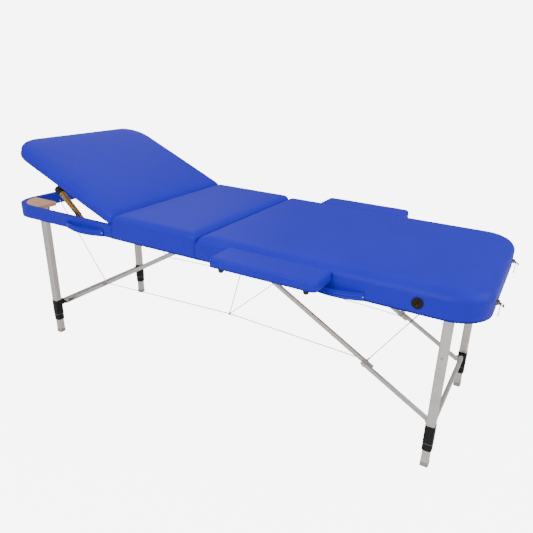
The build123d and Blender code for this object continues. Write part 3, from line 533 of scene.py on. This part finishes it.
moulded.links.new(d_fine.outputs["Fac"], d_out.inputs["Texture"])
moulded.links.new(d_dust.outputs["Fac"], d_out.inputs["Dust"])


def moulding(name, dark, light, rough):
    """Moulded plastic or rubber between two shades."""
    material = bpy.data.materials.new(name)
    material.use_nodes = True
    nodes, links = material.node_tree.nodes, material.node_tree.links
    skin = nodes["Principled BSDF"]
    skin.inputs["Specular IOR Level"].default_value = 0.2
    texture = nodes.new("ShaderNodeGroup")
    texture.node_tree = moulded
    shades = nodes.new("ShaderNodeMix")
    shades.data_type = "RGBA"
    shades.inputs[6].default_value = (*dark, 1)
    shades.inputs[7].default_value = (*light, 1)
    links.new(texture.outputs["Dust"], shades.inputs[0])
    links.new(shades.outputs[2], skin.inputs["Base Color"])
    gloss = nodes.new("ShaderNodeMapRange")
    gloss.inputs["To Min"].default_value, gloss.inputs["To Max"].default_value = rough
    links.new(texture.outputs["Dust"], gloss.inputs["Value"])
    links.new(gloss.outputs["Result"], skin.inputs["Roughness"])
    bump = nodes.new("ShaderNodeBump")
    bump.inputs["Strength"].default_value = 0.3
    bump.inputs["Distance"].default_value = 0.0002
    links.new(texture.outputs["Texture"], bump.inputs["Height"])
    links.new(bump.outputs["Normal"], skin.inputs["Normal"])
    return material


NYLON_DARK, NYLON_LIGHT, NYLON_ROUGH = (0.006, 0.006, 0.007), (0.022, 0.021, 0.020), (0.30, 0.50)
nylon = moulding("black_nylon", NYLON_DARK, NYLON_LIGHT, NYLON_ROUGH)
paint(
    nylon, "foot_brace_clevises", "head_brace_clevises", "stay_sliders",
    "stay_brackets", "armrest_bushings",
)
RING_GREY, RING_Z, RING_HALF = (0.20, 0.19, 0.18, 1), 0.090, 0.0009
ringed = moulding("ringed_nylon", NYLON_DARK, NYLON_LIGHT, NYLON_ROUGH)
r_nodes, r_links = ringed.node_tree.nodes, ringed.node_tree.links
r_skin = r_nodes["Principled BSDF"]
r_place, r_parts = r_nodes.new("ShaderNodeTexCoord"), r_nodes.new("ShaderNodeSeparateXYZ")
r_links.new(r_place.outputs["Object"], r_parts.inputs[0])
off_ring = math_node(r_nodes, r_links, "SUBTRACT", r_parts.outputs[2], RING_Z)
off_ring = math_node(r_nodes, r_links, "ABSOLUTE", off_ring)
ring = math_node(r_nodes, r_links, "LESS_THAN", off_ring, RING_HALF)
r_pick = r_nodes.new("ShaderNodeMix")
r_pick.data_type = "RGBA"
r_pick.inputs[7].default_value = RING_GREY
r_links.new(ring, r_pick.inputs[0])
r_links.new(r_skin.inputs["Base Color"].links[0].from_socket, r_pick.inputs[6])
r_links.new(r_pick.outputs[2], r_skin.inputs["Base Color"])
paint(ringed, "foot_tees", "head_tees")
rubber = moulding("foot_rubber", (0.36, 0.34, 0.31), (0.52, 0.49, 0.45), (0.45, 0.62))
for end in ("foot", "head"):
    for side in ("front", "rear"):
        paint(rubber, f"foot_cap_{end}_{side}")
boss_brown = moulding("boss_plastic", (0.010, 0.005, 0.003), (0.035, 0.016, 0.009), (0.22, 0.38))
paint(boss_brown, "side_boss")


# Carry straps, one on each half: a folded band of the same vinyl, screwed to the rail at both ends. It
# stands off in a loop, sinks a little in the middle and keeps the soft pleats it was folded with.
RAIL_FACE, STRAP_THICK, STRAP_ROUND = -0.3320, 0.0032, 0.0014
STRAP_BOW, STRAP_SAG, STRAP_GATHER, STRAP_PLEAT = 0.0185, 0.0030, 0.10, 0.0017


def carry_strap(name, body):
    low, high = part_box(name)
    length, middle = high.x - low.x, (low.z + high.z) / 2
    shape = bmesh.new()
    bmesh.ops.create_cube(shape, size=1.0)
    bmesh.ops.scale(shape, vec=(length, STRAP_THICK, high.z - low.z), verts=shape.verts)
    edges = [e for e in shape.edges if abs((e.verts[0].co - e.verts[1].co).x) > length / 2]
    bmesh.ops.bevel(
        shape, geom=edges, offset=STRAP_ROUND, affect="EDGES", segments=3, profile=0.5, material=-1
    )
    for axis, low_end, high_end, count in (
        (0, -length / 2, length / 2, 56), (2, -(high.z - low.z) / 2, (high.z - low.z) / 2, 16)
    ):
        normal = Vector([1.0 if k == axis else 0.0 for k in range(3)])
        for k in range(1, count):
            at = normal * (low_end + (high_end - low_end) * k / count)
            every = shape.verts[:] + shape.edges[:] + shape.faces[:]
            bmesh.ops.bisect_plane(shape, geom=every, dist=1e-5, plane_co=at, plane_no=normal)
    for vert in shape.verts:
        t = vert.co.x / length + 0.5
        arc = max(0.0, sin(pi * t)) ** 0.8
        across = vert.co.z / ((high.z - low.z) / 2)
        pleats = STRAP_PLEAT * sin(across * pi * 2.6 + 0.5) * min(1.0, 0.15 + 1.6 * arc)
        vert.co.z = middle + vert.co.z * (1 - STRAP_GATHER * arc) - STRAP_SAG * arc
        vert.co.y = RAIL_FACE + vert.co.y * (1 + 0.4 * arc) - STRAP_BOW * arc - pleats
        vert.co.x += (low.x + high.x) / 2
    bmesh.ops.recalc_face_normals(shape, faces=shape.faces)
    piece = bpy.data.objects.new(f"{name}_strap", bpy.data.meshes.new(f"{name}_strap"))
    shape.to_mesh(piece.data)
    shape.free()
    for polygon in piece.data.polygons:
        polygon.use_smooth = True
    piece.data.materials.append(blue)
    bpy.context.collection.objects.link(piece)
    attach(piece, body)
    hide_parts(name)


carry_strap("foot_handle", "foot_half")
carry_strap("head_handle", "head_half")


# The wire ropes that stop the legs and braces spreading: six strands laid round each other, run tight
# from knee to knee and up to the rails, with a crimped, plated sleeve at knees and rails and a thicker
# one where the foot half's ropes meet.
ROPE_RADIUS, VALLEY, ROPE_STEP, ROPE_LAY = 0.0016, 0.78, 0.0035, 0.024
rope_steel = metal(
    "wire_rope", (0.07, 0.067, 0.064), (0.16, 0.155, 0.15), (0.34, 0.5), (400, 400, 400), 0.5
)


def lay_rope(shape, start, end):
    """Adds one twisted run between two points."""
    start, end = Vector(start), Vector(end)
    line = end - start
    steps = max(6, int(line.length / ROPE_STEP))
    turn = line.to_track_quat("Z", "Y").to_matrix().to_4x4()
    made = bmesh.ops.create_circle(shape, cap_ends=False, segments=12, radius=ROPE_RADIUS)["verts"]
    for k, vert in enumerate(made):
        if k % 2:
            vert.co *= VALLEY
    bmesh.ops.transform(shape, matrix=Matrix.Translation(start) @ turn, verts=made)
    ring = list({e for v in made for e in v.link_edges})
    bmesh.ops.spin(
        shape, geom=made + ring, cent=start, axis=line.normalized(), dvec=line / steps,
        angle=2 * pi * line.length / ROPE_LAY, steps=steps, use_merge=False, use_duplicate=False,
    )


def crimp(shape, at, toward, length, radius):
    """Adds a sleeve with softened ends, starting at a point and running toward another."""
    at, line = Vector(at), (Vector(toward) - Vector(at)).normalized()
    before = set(shape.verts)
    bmesh.ops.create_cone(
        shape, cap_ends=True, cap_tris=False, segments=14, radius1=radius, radius2=radius, depth=length
    )
    made = [v for v in shape.verts if v not in before]
    rims = [e for v in made for e in v.link_edges if abs((e.verts[0].co - e.verts[1].co).z) < 1e-6]
    result = bmesh.ops.bevel(
        shape, geom=list(set(rims)), offset=radius * 0.3, affect="EDGES", segments=2, profile=0.5,
        material=-1,
    )
    made = list({v for f in result["faces"] for v in f.verts} | {v for v in made if v.is_valid})
    turn = line.to_track_quat("Z", "Y").to_matrix().to_4x4()
    bmesh.ops.transform(shape, matrix=Matrix.Translation(at + line * length / 2) @ turn, verts=made)


ROPE_Y, ROPE_TOP, RISER_X, ANCHOR_X = 0.1875, 0.591, 0.122, 0.805
KNEE_X, KNEE_Z, JOINT_X, JOINT_Z, SEAM_Z = 0.5805, 0.2686, 0.040, 0.293, 0.2914
for half, sign, body in (("foot", 1, "foot_half"), ("head", -1, "head_half")):
    wires, sleeves = bmesh.new(), bmesh.new()
    for side in (1, -1):
        y = side * ROPE_Y
        knee_at, leg_at = (sign * KNEE_X + SEAM_X, y, KNEE_Z), (sign * ANCHOR_X + SEAM_X, y, ROPE_TOP)
        junction, seam = (JOINT_X + SEAM_X, y, JOINT_Z), (SEAM_X, y, SEAM_Z)
        runs = [(knee_at, leg_at)]
        if sign > 0:
            runs += [(seam, junction), (junction, knee_at), (junction, (RISER_X + SEAM_X, y, ROPE_TOP))]
            crimp(sleeves, (junction[0], y, junction[2] - 0.005), (junction[0], y, 1.0), 0.010, 0.0036)
        else:
            runs.append((knee_at, seam))
        for start, end in runs:
            lay_rope(wires, start, end)
            if abs(end[2] - ROPE_TOP) < 1e-6:
                crimp(sleeves, end, start, 0.012, 0.0024)
        crimp(sleeves, knee_at, leg_at, 0.014, 0.0026)
    if sign > 0:
        lay_rope(wires, (JOINT_X + SEAM_X, -ROPE_Y, JOINT_Z), (JOINT_X + SEAM_X, ROPE_Y, JOINT_Z))
    bmesh.ops.holes_fill(wires, edges=[e for e in wires.edges if e.is_boundary], sides=0)
    for suffix, shape in (("ropes", wires), ("rope_sleeves", sleeves)):
        bmesh.ops.recalc_face_normals(shape, faces=shape.faces)
        piece = bpy.data.objects.new(f"{half}_{suffix}_wire", bpy.data.meshes.new(f"{half}_{suffix}"))
        shape.to_mesh(piece.data)
        shape.free()
        for polygon in piece.data.polygons:
            polygon.use_smooth = True
        piece.data.materials.append(rope_steel if suffix == "ropes" else zinc)
        bpy.context.collection.objects.link(piece)
        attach(piece, body)
        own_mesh(piece)
        if suffix == "ropes":
            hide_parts(f"{half}_ropes")
